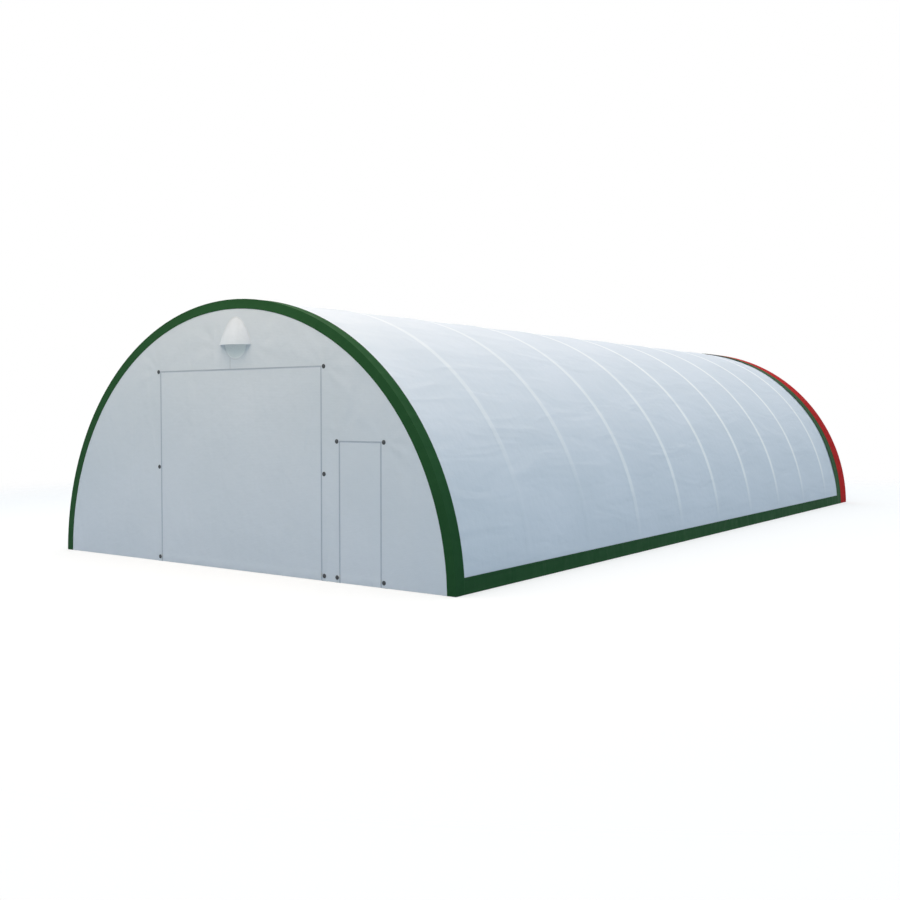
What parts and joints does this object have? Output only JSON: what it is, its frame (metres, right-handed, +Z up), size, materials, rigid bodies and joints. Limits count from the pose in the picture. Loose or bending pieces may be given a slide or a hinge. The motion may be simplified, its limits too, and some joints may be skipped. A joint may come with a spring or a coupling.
{
  "type": "fabric storage shelter",
  "caption": "Round-arched storage shelter: steel arches under a white fabric cover with green edge bands, a roll-up main door, a zipped side door and hooded vents.",
  "frame": {"origin": "on the ground at the middle of the plan", "axes": "+X to the right as seen from the front, +Y towards the rear, +Z up"},
  "size_m": [9.1498, 20.392, 4.4997],
  "materials": {
    "white_fabric": "satin coated tarpaulin",
    "green_band": "satin coated tarpaulin",
    "red_binding": "satin coated tarpaulin",
    "zip_tape": "woven tape",
    "fastener_plastic": "matte",
    "vent_screen": "open woven screen",
    "galvanised_steel": "hot-dip galvanised"
  },
  "bodies": {
    "root": {"roof_cover": "white_fabric", "front_wall": "white_fabric", "rear_wall": "white_fabric", "front_edge_band": "green_band", "rear_edge_band": "green_band", "rear_edge_binding": "red_binding", "left_base_band": "green_band", "right_base_band": "green_band", "main_door_curtain": "white_fabric", "main_door_zip": "zip_tape", "side_door_panel": "white_fabric", "side_door_zip": "zip_tape", "door_fasteners": "fastener_plastic", "front_vent_hood": "white_fabric", "rear_vent_hood": "white_fabric", "front_vent_screen": "vent_screen", "rear_vent_screen": "vent_screen", "ridge_purlin": "galvanised_steel", "left_upper_purlin": "galvanised_steel", "right_upper_purlin": "galvanised_steel", "left_lower_purlin": "galvanised_steel", "right_lower_purlin": "galvanised_steel", "left_base_rail": "galvanised_steel", "right_base_rail": "galvanised_steel", "main_door_left_post": "galvanised_steel", "main_door_right_post": "galvanised_steel", "main_door_header": "galvanised_steel", "side_door_left_post": "galvanised_steel", "side_door_right_post": "galvanised_steel", "side_door_header": "galvanised_steel", "rear_left_post": "galvanised_steel", "rear_right_post": "galvanised_steel", "rear_girt": "galvanised_steel", "arch_01": "galvanised_steel", "arch_02": "galvanised_steel", "arch_03": "galvanised_steel", "arch_04": "galvanised_steel", "arch_05": "galvanised_steel", "arch_06": "galvanised_steel", "arch_07": "galvanised_steel", "arch_08": "galvanised_steel", "arch_09": "galvanised_steel", "arch_10": "galvanised_steel", "arch_11": "galvanised_steel"}
  },
  "joints": []
}
